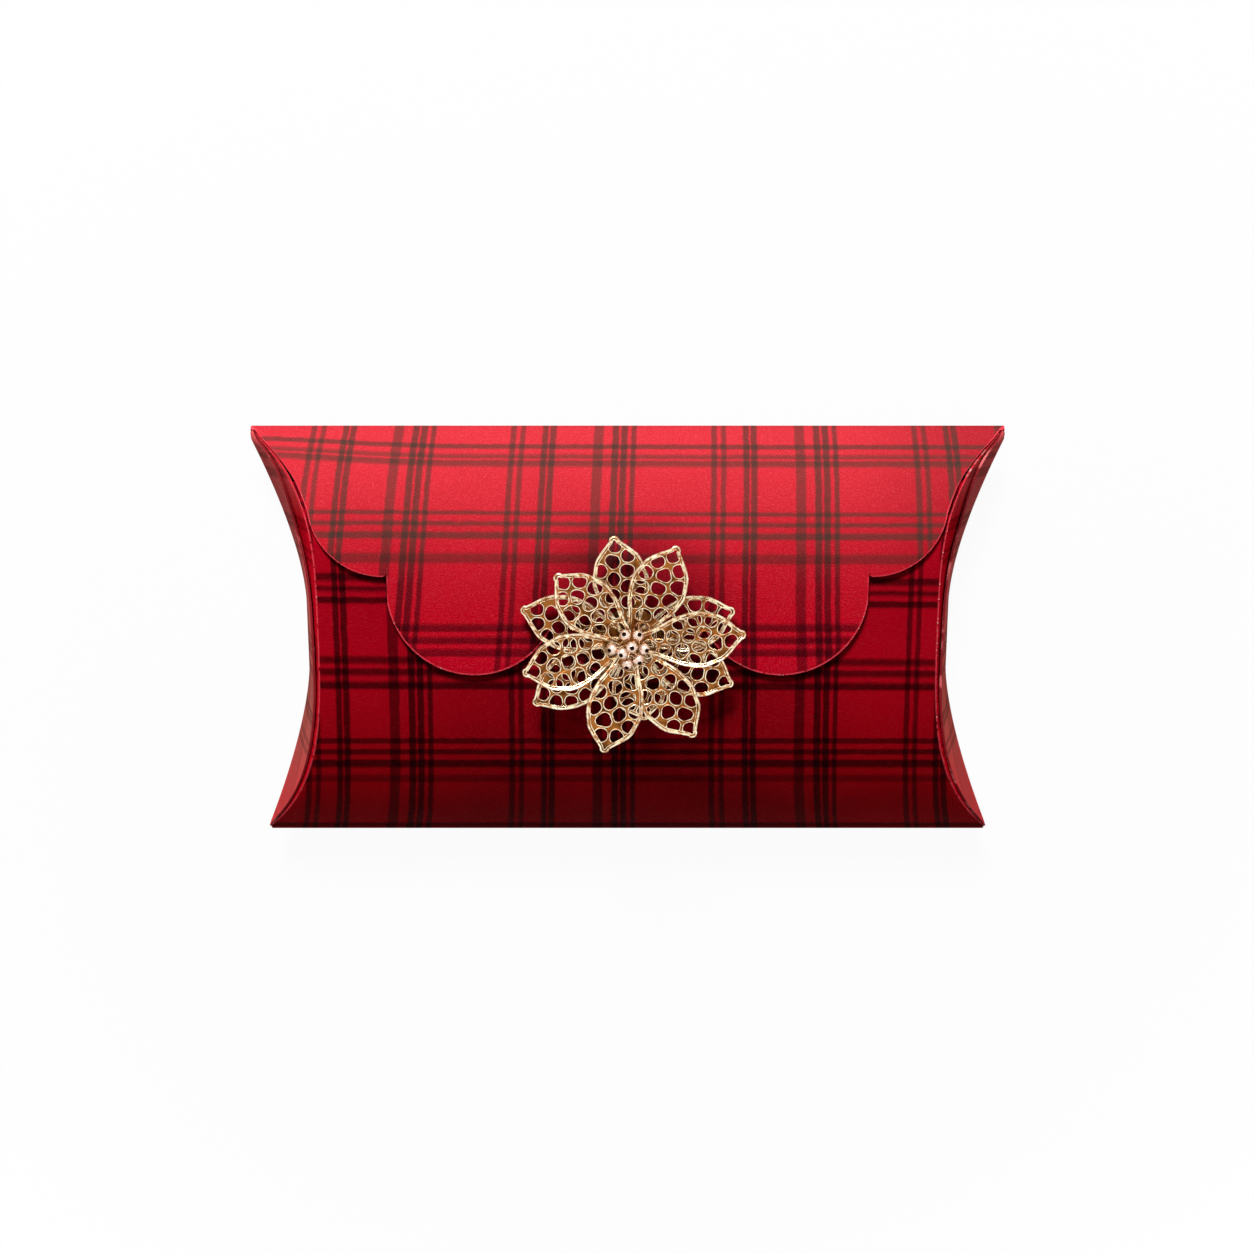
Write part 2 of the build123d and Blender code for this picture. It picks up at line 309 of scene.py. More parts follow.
def run_down(profile):
    """Places down a panel from the top fold, and the length of board down to each."""
    places = np.linspace(top_y, bottom_y, run_samples)
    heights = np.array([profile(y) for y in places])
    steps = np.hypot(np.diff(places), np.diff(heights))
    return places[::-1], np.concatenate([[0.0], np.cumsum(steps)])[::-1]


front_run = run_down(front_height)
back_run = run_down(back_depth)


def between(table, place):
    """Value at a place in a table of (place, value)."""
    return float(np.interp(place, *zip(*table)))


def circle_through(first, second, third):
    """Centre and radius of the circle through three places."""
    (ax, ay), (bx, by), (cx, cy) = first, second, third
    left = np.array([[bx - ax, by - ay], [cx - ax, cy - ay]]) * 2
    right = np.array([bx**2 - ax**2 + by**2 - ay**2, cx**2 - ax**2 + cy**2 - ay**2])
    x, y = np.linalg.solve(left, right)
    return float(x), float(y), math.hypot(x - ax, y - ay)


side_end = (flap_side_x(side_end_y), side_end_y)
outer_lobe = circle_through(side_end, outer_lobe_side, outer_cusp)
inner_cusp = (
    middle_lobe[2] * math.sin(math.radians(middle_lobe_sweep)),
    middle_lobe[1] - middle_lobe[2] * math.cos(math.radians(middle_lobe_sweep)),
)
big_lobe_foot = (big_lobe_centre[0], big_lobe_centre[1] - big_lobe_radius)
big_lobe = circle_through(outer_cusp, big_lobe_foot, inner_cusp)
lobes = (outer_lobe, big_lobe, middle_lobe)


def flap_foot(x):
    """Lowest place of the closure flap at x, round its lobes and up the crease."""
    x = abs(x)
    if x >= side_end[0]:
        ends = np.linspace(side_end_y, top_y, 120)
        return float(np.interp(x, [flap_side_x(y) for y in ends], ends))
    if x >= outer_cusp[0]:
        return outer_lobe[1] - math.sqrt(max(0.0, outer_lobe[2] ** 2 - (x - outer_lobe[0]) ** 2))
    feet = [
        lobe_y - math.sqrt(radius**2 - (x - lobe_x) ** 2)
        for lobe_x, lobe_y, radius in lobes[1:]
        if abs(x - lobe_x) < radius
    ]
    return min(feet)


def edge_distance_on_flap(x, y):
    """Distance from a place on the closure flap to its cut edge."""
    x = abs(x)
    if y > side_end_y:
        return min((flap_side_x(y) - x) * side_slope, far_inside)
    cusp_x, cusp_y = outer_cusp
    inside = [radius - math.hypot(x - lobe_x, y - lobe_y) for lobe_x, lobe_y, radius in lobes]
    if x < cusp_x and y > cusp_y:
        inside.append(math.hypot(x - cusp_x, y - cusp_y))
    return min(max(inside), far_inside)


def by_fan(shares, fan):
    """What (at the fold, by the fan, by its square) come to at a fan."""
    return shares[0] + shares[1] * fan + shares[2] * fan**2


def flap_sheet(x, y):
    """Place on the printed sheet of a place on the closure flap.

    Its upright bars fan out, and its level ones climb to the left tip."""
    fan = (top_y - y) / fan_run
    down = float(np.interp(y, *front_run))
    strays = [(14.0, between(top_strays, x)), (28.0, between(halfway_strays, x)), (56.0, low_stray)]
    return x * by_fan(fan_spacing, fan) + by_fan(fan_shift, fan), down + between(strays, down)


def panel_sheet(x, y):
    """Place on the printed sheet of a place on the front panel."""
    down = float(np.interp(y, *front_run))
    sunk = 1 - front_height(y) / front_bulge
    climb = between([(45.0, 1.0), (62.0, 0.65), (82.0, 0.0)], down) * (x + 40.0) / 106.0
    return x * (1 - 0.075 * sunk) + between(panel_strays, x), down - climb


def back_sheet(x, y):
    """Place on the printed sheet of a place on the back panel."""
    return x, float(np.interp(y, *back_run))


# ---- Materials ----
def tint(red, green, blue):
    """A colour given as it looks on a screen, 0 to 255 each, as the shader's own colour."""
    shares = (red / 255, green / 255, blue / 255)
    return tuple(c / 12.92 if c <= 0.04 else ((c + 0.055) / 1.055) ** 2.4 for c in shares) + (1.0,)


class Ink:
    """A socket of a finish, which can be added, multiplied and so on like a number."""

    def __init__(self, finish, socket):
        self.finish = finish
        self.socket = socket

    def __add__(self, other):
        return self.finish.sum("ADD", self, other)

    def __sub__(self, other):
        return self.finish.sum("SUBTRACT", self, other)

    def __rsub__(self, other):
        return self.finish.sum("SUBTRACT", other, self)

    def __mul__(self, other):
        return self.finish.sum("MULTIPLY", self, other)

    def __truediv__(self, other):
        return self.finish.sum("DIVIDE", self, other)

    __radd__ = __add__
    __rmul__ = __mul__

    def other(self, output):
        """Another output of the same node."""
        return Ink(self.finish, self.socket.node.outputs[output])


class Finish:
    """A material made of nodes, or the world where it is given as the owner."""

    def __init__(self, name, owner=None):
        self.owner = owner or bpy.data.materials.new(name)
        self.owner.use_nodes = True
        self.tree = self.owner.node_tree
        self.tree.nodes.clear()

    def node(self, kind, settings=None, values=None, output=0):
        """Adds one node, sets it up, joins or sets its sockets, and gives one of its outputs."""
        made = self.tree.nodes.new(kind)
        for name, value in (settings or {}).items():
            if name == "stops":
                self.set_stops(made.color_ramp, value)
            else:
                setattr(made, name, value)
        for name, value in (values or {}).items():
            if isinstance(value, Ink):
                self.tree.links.new(value.socket, made.inputs[name])
            else:
                made.inputs[name].default_value = value
        return Ink(self, made.outputs[output]) if len(made.outputs) else None

    def set_stops(self, ramp, stops):
        """Sets a ramp's stops, given as (place, grey) or (place, colour)."""
        while len(ramp.elements) < len(stops):
            ramp.elements.new(1.0)
        for element, (place, shade) in zip(ramp.elements, stops):
            element.position = place
            element.color = shade if isinstance(shade, tuple) else (shade, shade, shade, 1.0)

    def sum(self, operation, *values, clamp=False):
        """One step of shader maths on values or sockets."""
        settings = {"operation": operation, "use_clamp": clamp}
        return self.node("ShaderNodeMath", settings, dict(enumerate(values)))

    def blend(self, first, second, share):
        """Mixes two colours."""
        return self.node("ShaderNodeMix", {"data_type": "RGBA"}, {0: share, 6: first, 7: second}, output=2)

    def speckle(self, place, scale, detail=3.0, stretch=None, distortion=0.0):
        """Noise from 0 to 1 over a place, which may be stretched."""
        if stretch:
            place = self.node("ShaderNodeMapping", {}, {"Vector": place, "Scale": stretch})
        values = {"Vector": place, "Scale": scale, "Detail": detail, "Distortion": distortion}
        return self.node("ShaderNodeTexNoise", {}, values)

    def ramp(self, value, low, high):
        """Smoothly from 0 at low to 1 at high."""
        return self.node(
            "ShaderNodeMapRange",
            {"interpolation_type": "SMOOTHSTEP"},
            {"Value": value, "From Min": low, "From Max": high},
        )

    def bump(self, height, distance, below=None):
        """Relief of this height, on top of the relief below."""
        values = {"Height": height, "Distance": distance, "Strength": 1.0}
        if below:
            values["Normal"] = below
        return self.node("ShaderNodeBump", {}, values)

    def surface(self, **values):
        """Ends the finish in a surface with these values, written with _ for spaces."""
        named = {name.replace("_", " "): value for name, value in values.items()}
        shader = self.node("ShaderNodeBsdfPrincipled", {}, named)
        self.node("ShaderNodeOutputMaterial", {}, {"Surface": shader})
        return self.owner


# A colour ramp holds 32 stops, and a bar takes four
bars_in_ramp = 7


def bar_stops(bars, length, soft):
    """Stops of a ramp that is as deep as each bar's ink inside it and 0 between the bars."""
    stops = []
    for start, end, depth in bars:
        rim = min(soft, (end - start) / 3)
        stops += [(start - rim / 2, 0.0), (start + rim / 2, depth)]
        stops += [(end - rim / 2, depth), (end + rim / 2, 0.0)]
    return [(min(1.0, max(0.0, place / length)), grey) for place, grey in stops]


def ink_of_bars(finish, place, bars, length, soft=0.35):
    """How deep the ink of the bars is at a place along their run."""
    share = place / length
    total = None
    for first in range(0, len(bars), bars_in_ramp):
        stops = bar_stops(bars[first : first + bars_in_ramp], length, soft)
        some = finish.node("ShaderNodeValToRGB", {"stops": stops}, {0: share})
        total = some if total is None else finish.sum("MAXIMUM", total, some)
    return total


def printed_board(
    name, reds, inks, across_bars, strength=1.0, worn=1.0, sheen=0.06, hatch=0.2, dusk=0.0, painted_sheen=None,
    shade=0.0, brush=1.0, painted_light=None,
):
    """Board printed with tartan: a red ground brushed with lighter strokes, bars of see-through dark ink,
    and rubbed edges. The reds and inks are given as (distance down the sheet, colour). Dusk darkens the
    middle of the sheet. A painted sheen (share, colour) pales the middle towards that colour and clears the
    ink near the tips; shade paints the flower's shadow under it; and painted light (from, to, share,
    colour) tints it lighter or darker from one place along the sheet to another, as painted light or shade."""
    made = Finish(name)
    blank = made.node("ShaderNodeAttribute", {"attribute_name": "blank"}, {}, output=1)
    along = made.node("ShaderNodeSeparateXYZ", {}, {0: blank})
    down = along.other(1)
    edge = along.other(2)
    flat = made.node("ShaderNodeCombineXYZ", {}, {0: along, 1: down, 2: 0.0})

    def down_sheet(stops):
        """Colour down the sheet."""
        ramp = [(at / sheet_run, colour) for at, colour in stops]
        return made.node("ShaderNodeValToRGB", {"stops": ramp}, {0: down / sheet_run})

    strokes_a = made.speckle(flat, 1.5, detail=4.0, stretch=(0.55, 2.6, 1.0), distortion=0.8)
    strokes_b = made.speckle(flat, 1.5, detail=4.0, stretch=(2.6, 0.55, 1.0), distortion=1.3)
    patch = made.ramp(made.speckle(flat, 0.06, detail=1.0), 0.42, 0.58)
    strokes = strokes_a * patch + strokes_b * (1 - patch)
    grain = made.speckle(flat, 2.4, detail=3.0)

    wobble = made.speckle(flat, 0.3, detail=5.0)
    shiver = (wobble - 0.5) * 0.55
    lane = made.sum("FLOORED_MODULO", along + (shiver - tartan_start + lane_lead), tartan_repeat)
    lane_bars = [
        (at - width / 2 + lane_lead, at + width / 2 + lane_lead, depth) for at, width, depth in bars_along
    ]
    upright = ink_of_bars(made, lane, lane_bars, tartan_repeat)
    level = ink_of_bars(made, down + shiver, across_bars, sheet_run)
    patchy = made.speckle(flat, 0.6, detail=5.0)
    twill = made.node(
        "ShaderNodeTexWave", {"wave_type": "BANDS", "bands_direction": "DIAGONAL"},
        {"Vector": flat, "Scale": 0.62, "Distortion": 1.6, "Detail": 2.0}, output=1,
    )
    fade = (0.86 + patchy * 0.36 - twill * hatch - grain * 0.12) * strength
    upright = made.sum("MULTIPLY", upright, fade, clamp=True)
    level = made.sum("MULTIPLY", level, fade, clamp=True)
    covered = 1 - (1 - upright) * (1 - level)

    ground = down_sheet(reds)
    from_middle = made.sum("ABSOLUTE", along)
    # Painted sheen: the middle of the sheet pales towards a pinkish brown, as a grazing sheen would, and
    # the ink clears near the tips.
    if painted_sheen:
        share, colour = painted_sheen
        ground = made.blend(ground, colour, made.ramp(from_middle, 52.0, 16.0) * share)
        covered = covered * made.ramp(from_middle, 54.0, 47.0)
    # Painted light and shade: a lighter or darker tint blended in from one place along the sheet to
    # another.
    if painted_light:
        painted_from, painted_to, share, colour = painted_light
        ground = made.blend(ground, colour, made.ramp(along, painted_from, painted_to) * share)
    darker = made.node("ShaderNodeHueSaturation", {}, {"Value": 0.84, "Color": ground})
    lighter = made.node("ShaderNodeHueSaturation", {}, {"Value": 1.1, "Saturation": 0.975, "Color": ground})
    cloud = made.speckle(flat, 0.045, detail=3.0)
    if dusk:
        ground = made.blend(ground, tint(70, 0, 8), made.ramp(from_middle, 66.0, 30.0) * dusk)
    ground = made.blend(ground, darker, made.ramp(cloud, 0.35, 0.75) * 0.5)
    ground = made.blend(ground, lighter, made.ramp(strokes, 0.48, 0.7) * (0.3 + 0.35 * brush))
    ground = made.blend(ground, darker, made.ramp(grain, 0.5, 0.3) * (0.4 * brush))
    ground = made.blend(ground, lighter, made.ramp(grain, 0.54, 0.74) * (0.36 * brush))
    colour = made.blend(ground, down_sheet(inks), covered)
    # Painted shadow of the flower: the print darkens round the flower's middle.
    if shade:
        place = made.node("ShaderNodeTexCoord", {}, {}, output=3)
        beside = made.node(
            "ShaderNodeVectorMath", {"operation": "MULTIPLY_ADD"},
            {0: place, 1: (1 / MM, 1 / MM, 0.0), 2: (-flower_x, -flower_y, 0.0)},
        )
        away = made.node("ShaderNodeVectorMath", {"operation": "LENGTH"}, {0: beside}, output=1)
        colour = made.blend(colour, tint(40, 2, 8), made.ramp(away, 36.0, 14.0) * shade)
    rubbed = made.speckle(flat, 0.8, detail=4.0)
    line = made.ramp(edge, 0.5, 0.16) * made.ramp(rubbed, 0.3, 0.46) * worn
    colour = made.blend(colour, tint(244, 70, 84), line)
    nicks = made.speckle(flat, 1.3, detail=2.0)
    chipped = made.ramp(edge, 0.42, 0.12) * made.ramp(nicks, 0.66, 0.71) * worn
    colour = made.blend(colour, tint(252, 226, 220), chipped)

    relief = made.bump(strokes, 0.00015)
    relief = made.bump(grain, 0.00006 * brush, relief)
    return made.surface(
        Base_Color=colour, Roughness=0.46 + strokes * 0.16, Normal=relief, Specular_IOR_Level=sheen
    )


def raw_board(name, light, dark, share=0.5):
    """Unprinted board: pale, with short fibres."""
    made = Finish(name)
    place = made.node("ShaderNodeTexCoord", {}, {}, output=3)
    fibre = made.speckle(place, 900.0, detail=4.0, stretch=(0.35, 1.0, 1.0))
    blotch = made.speckle(place, 160.0, detail=3.0)
    colour = made.blend(light, dark, made.ramp(blotch, 0.62 - share / 2, 0.62 + share / 2))
    relief = made.bump(fibre, 0.00006)
    return made.surface(Base_Color=colour, Roughness=0.82, Normal=relief, Specular_IOR_Level=0.25)


def gilt(name, light, dark, roughness, metallic=1.0, scale=420.0):
    """Cast and plated metal, browner in patches."""
    made = Finish(name)
    place = made.node("ShaderNodeTexCoord", {}, {}, output=3)
    patch = made.speckle(place, scale, detail=4.0)
    pits = made.speckle(place, 2600.0, detail=2.0)
    colour = made.blend(light, dark, made.ramp(patch, 0.38, 0.72))
    return made.surface(
        Base_Color=colour,
        Metallic=metallic,
        Roughness=roughness + patch * 0.16,
        Normal=made.bump(pits, 0.00003),
    )


flap_print = printed_board(
    "flap_print",
    # The reds grow paler and greyer towards the top fold: a painted sheen on the upper flap.
    [
        (2.0, tint(214, 50, 61)),
        (22.0, tint(212, 43, 56)),
        (38.0, tint(208, 26, 45)),
        (56.0, tint(204, 6, 34)),
        (70.0, tint(200, 2, 34)),
    ],
    [(34.0, tint(46, 56, 48)), (46.0, tint(26, 14, 18)), (60.0, tint(20, 4, 10))],
    flap_bars,
    sheen=0.015,
    # Painted shadow round the flower.
    shade=0.68,
    brush=3.0,
    # Painted shade: the flap darkens towards its right tip.
    painted_light=(48.0, 96.0, 0.42, tint(116, 0, 14)),
)
panel_print = printed_board(
    "panel_print",
    [
        (20.0, tint(172, 2, 26)),
        (62.0, tint(170, 1, 24)),
        (85.0, tint(160, 0, 18)),
        (115.0, tint(172, 0, 14)),
    ],
    [(0.0, tint(10, 2, 4)), (sheet_run, tint(8, 1, 3))],
    panel_bars,
    strength=1.08,
    worn=0.8,
    sheen=0.008,
    hatch=0.12,
    dusk=0.42,
)
back_print = printed_board(
    "back_print",
    [(0.0, tint(186, 8, 28)), (130.0, tint(176, 4, 22))],
    [(0.0, tint(20, 14, 12)), (sheet_run, tint(14, 6, 8))],
    back_bars,
    strength=1.1,
    hatch=0.12,
)
outer_end_prints = {}
# Each outer end carries a painted sheen, a pale pinkish brown over its middle, browner on the left end.
for side, sheen_tint in ((-1, (0.64, tint(188, 122, 108))), (1, (0.6, tint(232, 120, 106)))):
    outer_end_prints[side] = printed_board(
        "outer_end_print",
        [(0.0, tint(236, 66, 72)), (12.0, tint(240, 66, 72)), (30.0, tint(206, 40, 50))],
        [(0.0, tint(110, 62, 54)), (30.0, tint(110, 62, 54))],
        [(0.0, 0.6, 0.7), (2.0, 15.5, 0.5), (24.5, 25.7, 0.5)],
        strength=0.8,
        worn=0.9,
        sheen=0.0,
        painted_sheen=sheen_tint,
        # Painted light: the outer ends grow paler towards the top tip.
        painted_light=(-20.0, 30.0, 0.55, tint(255, 116, 116)),
    )
inner_end_print = printed_board(
    "inner_end_print",
    [(0.0, tint(196, 2, 26)), (30.0, tint(232, 6, 36))],
    [(0.0, tint(60, 6, 12)), (30.0, tint(60, 6, 12))],
    [(20.0, 21.5, 0.4)],
    strength=0.6,
    worn=0.5,
    sheen=0.0,
    # Painted light: the inner ends grow paler towards the top tip.
    painted_light=(30.0, 44.0, 0.4, tint(255, 116, 116)),
)
board_inside = raw_board("board_inside", tint(238, 232, 222), tint(226, 217, 203))
board_edge = raw_board("board_edge", tint(200, 26, 42), tint(246, 190, 186), share=0.14)
end_edge = raw_board("end_edge", tint(132, 14, 26), tint(224, 110, 112), share=0.12)
gilt_rim = gilt("gilt_rim", tint(255, 242, 208), tint(178, 106, 38), 0.16, scale=800.0)
# The web plate is painted much darker than the wires: painted shade in the recesses between them.
gilt_web_painted_shade = gilt("gilt_web_painted_shade", tint(156, 96, 42), tint(70, 36, 13), 0.32)
# The flower's base disc and hub are painted dark brown: painted shade at the heart of the flower.
gilt_base_painted_shade = gilt("gilt_base_painted_shade", tint(140, 90, 42), tint(62, 34, 14), 0.3)
pearl = gilt("pearl_gold", tint(250, 228, 214), tint(230, 194, 172), 0.14, metallic=0.8)
# The beads' bores are painted near black: painted shade inside the holes.
bore_painted_shade = gilt("bead_bore", tint(48, 26, 16), tint(28, 14, 8), 0.5)


# ---- Making pieces ----
# Each board's materials: its print, its pale inside and its cut edge
PRINTED, INSIDE, CUT = 0, 1, 2


def select_only(*pieces):
    """Selects these pieces and nothing else, the first of them active."""
    bpy.ops.object.select_all(action="DESELECT")
    for piece in pieces:
        piece.select_set(True)
    bpy.context.view_layer.objects.active = pieces[0]


def name_piece(name, *materials):
    """Names the primitive that was just added and gives it its materials."""
    piece = bpy.context.active_object
    piece.name = name
    piece.data.name = name
    for material in materials:
        piece.data.materials.append(material)
    return piece


def apply_modifier(piece, kind, **settings):
    """Adds a modifier, sets it up and applies it."""
    select_only(piece)
    made = piece.modifiers.new(kind.title(), kind)
    for name, value in settings.items():
        setattr(made, name, value)
    bpy.ops.object.modifier_apply(modifier=made.name)


def reshape(piece, place):
    """Moves each vertex to the place that a function gives for it."""
    for vertex in piece.data.vertices:
        vertex.co = place(vertex.co)


def repaint(piece, index, chosen):
    """Gives the faces that a function picks another of the piece's materials."""
    for face in piece.data.polygons:
        if chosen(face):
            face.material_index = index


def finish_piece(piece, node, body, smooth_angle=40.0):
    """Brings a finished piece to metres and puts it in its node's place."""
    piece.data.transform(Matrix.Scale(MM, 4))
    select_only(piece)
    bpy.ops.object.shade_smooth_by_angle(angle=math.radians(smooth_angle))
    if node:
        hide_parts(node)
    if body:
        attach(piece, body)
    piece.select_set(False)
    return piece


def bent_board(name, across, along, place, materials, blank_at):
    """A sheet of board: a flat grid bent to place(u, v), given its thickness and worn round at its edges.

    blank_at(x, y, z) gives the printed sheet's own place: along, down and distance to the edge."""
    bpy.ops.mesh.primitive_grid_add(x_subdivisions=across, y_subdivisions=along, size=1.0)
    piece = name_piece(name, *materials)
    reshape(piece, lambda co: Vector(place(*(min(1.0, max(0.0, share + 0.5)) for share in (co.x, co.y)))))
    apply_modifier(
        piece, "SOLIDIFY", thickness=board, offset=-1.0, use_even_offset=True, use_quality_normals=True,
        material_offset=INSIDE, material_offset_rim=CUT,
    )
    apply_modifier(
        piece, "BEVEL", width=worn_edge, segments=2, limit_method="ANGLE", angle_limit=math.radians(60),
        material=-1,
    )
    blank = piece.data.attributes.new("blank", "FLOAT_VECTOR", "POINT")
    for vertex, item in zip(piece.data.vertices, blank.data):
        item.vector = blank_at(*vertex.co)
    return piece


def on_bead(centre_y, degrees):
    """Point of the YZ profile round a rounded fold."""
    angle = math.radians(degrees)
    return centre_y + fold_radius * math.cos(angle), fold_axis_z + fold_radius * math.sin(angle)


# ---- Front and back panels ----
def panel_place(rows, way):
    """Shape of a panel from its rows of (y, z, half width). Its grid runs to +X where way is 1."""
    def place(u, v):
        y, z, half = rows[min(len(rows) - 1, round(v * (len(rows) - 1)))]
        return way * (2 * u - 1) * half, y, z
    return place


def panel_blank(sheet, profile):
    """Place on the printed sheet of a place on a panel, and its distance to the crease."""
    def place(x, y, z):
        return *sheet(x, y), min(far_inside, crease_x(profile(y)) - abs(x))
    return place


panel_columns = 72

# The front panel runs from its rounded bottom fold up to its free edge under the closure flap
bottom_bead_steps = 6
front_rows = []
for step in range(bottom_bead_steps + 1):
    y, z = on_bead(bottom_bead_y, bottom_bead_start + bottom_bead_turn * step / bottom_bead_steps)
    front_rows.append((y, z, crease_x(0.4) - tip_in(y)))
for y in np.linspace(bottom_y + 1.3, front_edge_y, 60):
    at_y, at_z = front_point(y, 0.0)
    front_rows.append((at_y, at_z, crease_x(front_height(y)) - tip_in(y)))
front_panel = bent_board(
    "front_panel_board", panel_columns, len(front_rows) - 1, panel_place(front_rows, 1),
    [panel_print, board_inside, board_edge], panel_blank(panel_sheet, front_height),
)
repaint(front_panel, PRINTED, lambda face: face.material_index == CUT and abs(face.normal.x) > 0.6)
finish_piece(front_panel, "front_panel", "box")

# The back panel ends against the closure flap's fold
back_end_y = fold_axis_y - fold_radius - 0.03
back_spans = ((bottom_y + 0.2, -12.0, 30), (-9.0, 8.0, 8), (11.0, back_end_y, 30))
back_rows = []
for y in np.concatenate([np.linspace(*span) for span in back_spans]):
    back_rows.append((y, fold_z - back_depth(y), crease_x(back_depth(y)) - back_side_in - tip_in(y)))
back_panel = bent_board(
    "back_panel_board", panel_columns, len(back_rows) - 1, panel_place(back_rows, -1),
    [back_print, board_inside, board_edge], panel_blank(back_sheet, back_depth),
)
repaint(back_panel, PRINTED, lambda face: face.material_index == CUT)
finish_piece(back_panel, "back_panel", "box")


# ---- Closure flap ----
# The narrow notch between the big and the outer lobe, as its place along the box and its foot
notch = {61.42: outer_cusp[1] + 1.2, 61.6: outer_cusp[1] + 0.25}
middle_steps, big_steps, outer_steps, side_steps = 14, 28, 24, 20
flap_columns = [
    middle_lobe[2] * math.sin(math.radians(middle_lobe_sweep * step / middle_steps))
    for step in range(middle_steps + 1)
]
big_start = math.asin((flap_columns[-1] - big_lobe[0]) / big_lobe[2])
for step in range(1, big_steps + 1):
    angle = big_start + (math.pi / 2 - big_start) * step / big_steps
    flap_columns.append(min(big_lobe[0] + big_lobe[2] * math.sin(angle), outer_cusp[0] - 0.02))
flap_columns += list(notch)
outer_start = math.asin((outer_cusp[0] - outer_lobe[0]) / outer_lobe[2])
outer_stop = math.asin(min(1.0, (side_end[0] - outer_lobe[0]) / outer_lobe[2]))
for step in range(1, outer_steps + 1):
    angle = outer_start + (outer_stop - outer_start) * step / outer_steps
    flap_columns.append(outer_lobe[0] + outer_lobe[2] * math.sin(angle))
for y in np.linspace(side_end_y, top_y - 0.02, side_steps)[1:]:
    flap_columns.append(flap_side_x(y))
flap_columns = sorted(set(round(x, 2) for x in flap_columns))
flap_columns = [-x for x in reversed(flap_columns[1:])] + flap_columns
flap_row_count = 44
flap_bead_steps = 12
flap_curl = 0.12


def flap_place(u, v):
    """Shape of the closure flap: each column from its foot up the front panel, then round the fold."""
    x = flap_columns[round(u * (len(flap_columns) - 1))]
    row = round(v * (flap_row_count + flap_bead_steps))
    if row > flap_row_count:
        turned = flap_bead_turn * (row - flap_row_count) / flap_bead_steps
        return x, *on_bead(fold_axis_y, flap_bead_start + turned)
    foot = min(notch.get(round(abs(x), 2), flap_foot(x)), flap_end_y - 0.1)
    y = foot + (flap_end_y - foot) * (row / flap_row_count)
    wave = noise.noise(Vector((x * 0.03, y * 0.05, 3.0)))
    curl = flap_curl * wave * min(1.0, (flap_end_y - y) / 20)
    return x, *front_point(y, flap_lift(y) + curl)


def flap_blank(x, y, z):
    """Place on the printed sheet of a place on the flap, and its distance to the cut edge."""
    return *flap_sheet(x, y), edge_distance_on_flap(x, y)


closure_flap = bent_board(
    "closure_flap_board", len(flap_columns) - 1, flap_row_count + flap_bead_steps, flap_place,
    [flap_print, board_inside, board_edge], flap_blank,
)
repaint(
    closure_flap, INSIDE,
    lambda face: face.center.z < fold_axis_z and face.center.y < fold_axis_y - 0.15,
)
finish_piece(closure_flap, "closure_flap", "closure")


# ---- End flaps ----
def crease_points(y, side):
    """Front and back crease points of one end at y in the XZ plane, and the ways down and inwards."""
    front = Vector((side * (crease_x(front_height(y)) - tip_in(y)), fold_z + front_height(y)))
    back = Vector((side * (crease_x(back_depth(y)) - tip_in(y)), fold_z - back_depth(y)))
    down = (back - front).normalized()
    return front, back, down, Vector((side * down.y, -side * down.x))


def bare_share(y):
    """Share of the end's depth that an outer end flap leaves bare at y, in front of its free edge."""
    slanted = free_edge_share + free_edge_slant * ((y - bottom_y) / (top_y - bottom_y)) ** free_edge_bend
    return slanted * (1 - free_edge_top_less * eased(y, 26.0, 52.0))


def outer_flap_place(side):
    """Shape of an outer end flap, from its crease on the back panel to its free edge."""
    def place(u, v):
        y = bottom_y + end_trim + (top_y - bottom_y - 2 * end_trim) * (u if side > 0 else 1 - u)
        front, back, down, inward = crease_points(y, side)
        depth = (back - front).length
        slim = min(1.0, depth / 6.0)
        free = front + down * (bare_share(y) * depth + running_gap) - inward * board_and_gap * slim
        bow = outer_flap_bow * math.sin(math.pi * v) * slim
        at = back.lerp(free, v) - inward * bow
        return at.x, y, at.y
    return place


def inner_flap_place(side):
    """Shape of an inner end flap, from its free edge to its crease on the front panel."""
    def place(u, v):
        run = top_y - 2.0 - bottom_y - inner_flap_trim
        y = bottom_y + inner_flap_trim + run * (u if side > 0 else 1 - u)
        front, back, down, inward = crease_points(y, side)
        reach = inner_flap_share + 0.06 * eased(y, 30.0, 50.0)
        foot = front + (back - front) * reach + inward * inner_flap_in
        under_flap = min(1.0, max(0.0, (y - front_edge_y + 1.5) / 1.5))
        top = front + down * (inner_flap_drop + under_flap * (0.7 * eased(y, 45.0, 50.0) - 0.2))
        at = foot.lerp(top, v)
        return at.x, y, at.y
    return place


def end_blank(side, bare=None):
    """Place on the printed sheet of an end flap: along the crease, up from it and in from the free edge.

    It is kept from being rubbed towards the top tip."""
    def place(x, y, z):
        at_y = max(bottom_y + 0.5, min(top_y - 0.5, y))
        front, back, down, inward = crease_points(at_y, side)
        height = (Vector((x, z)) - back).dot(-down)
        reach = (front - back).length
        free = reach * (1 - bare(at_y)) - height if bare else far_inside
        kept = max(0.0, y + 12.0) * 0.06
        return y, height, min(max(free, 0.0) + kept, max(height, 0.0) + 0.16 + kept, far_inside)
    return place


